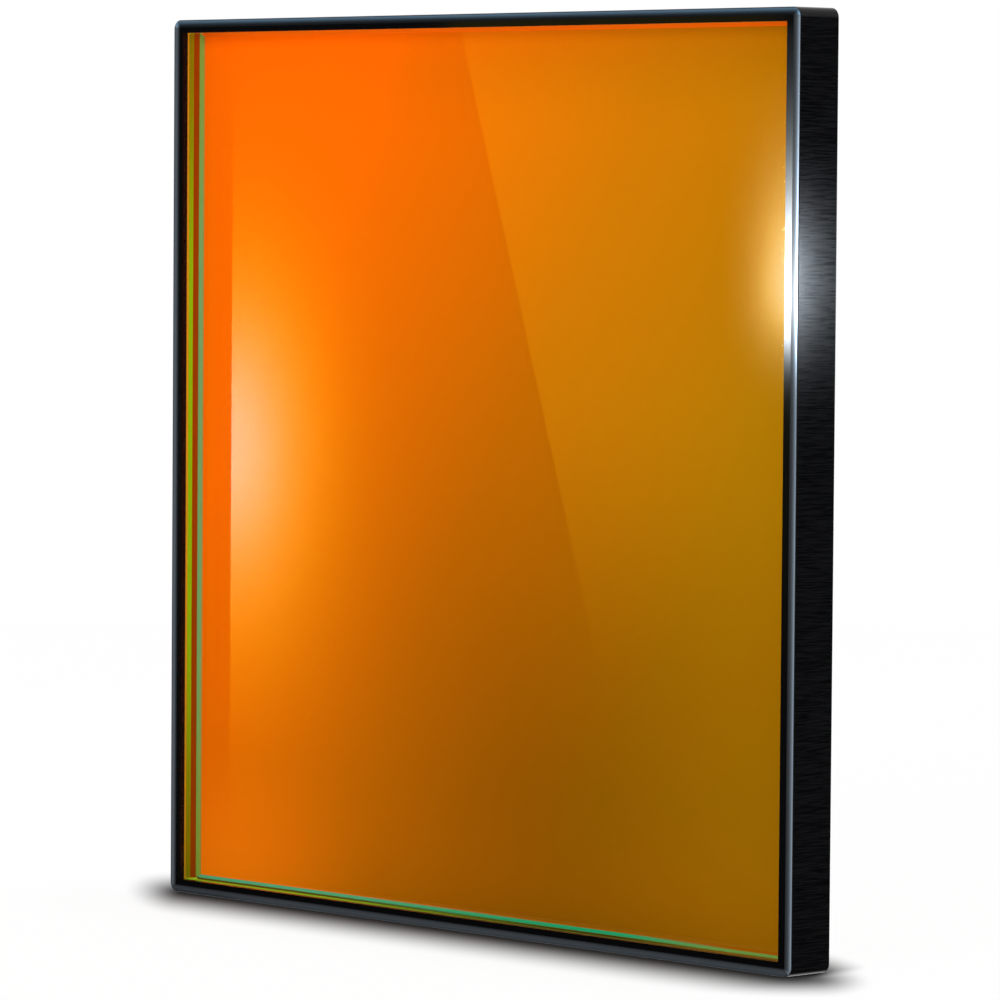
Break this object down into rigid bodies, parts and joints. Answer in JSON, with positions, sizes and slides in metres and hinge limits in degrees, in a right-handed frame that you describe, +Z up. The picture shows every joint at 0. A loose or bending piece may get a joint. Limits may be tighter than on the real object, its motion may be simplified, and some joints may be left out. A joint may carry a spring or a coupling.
{
  "type": "square astronomy filter",
  "caption": "Square orange-tinted optical filter for a telescope camera: a coated plane glass plate held in a thin black rim.",
  "frame": {"origin": "middle of the lower edge's footprint, on the surface the filter stands on", "axes": "+Z up, -Y out of the front of the glass, +X along the lower edge"},
  "size_m": [0.05, 0.003, 0.05],
  "materials": {
    "rim_black": "black anodised, satin, with fine lines along the edge faces",
    "coated_glass": "polished, with an orange to amber interference coating"
  },
  "bodies": {
    "root": {"black_rim": "rim_black", "glass_plate": "coated_glass"}
  },
  "joints": []
}
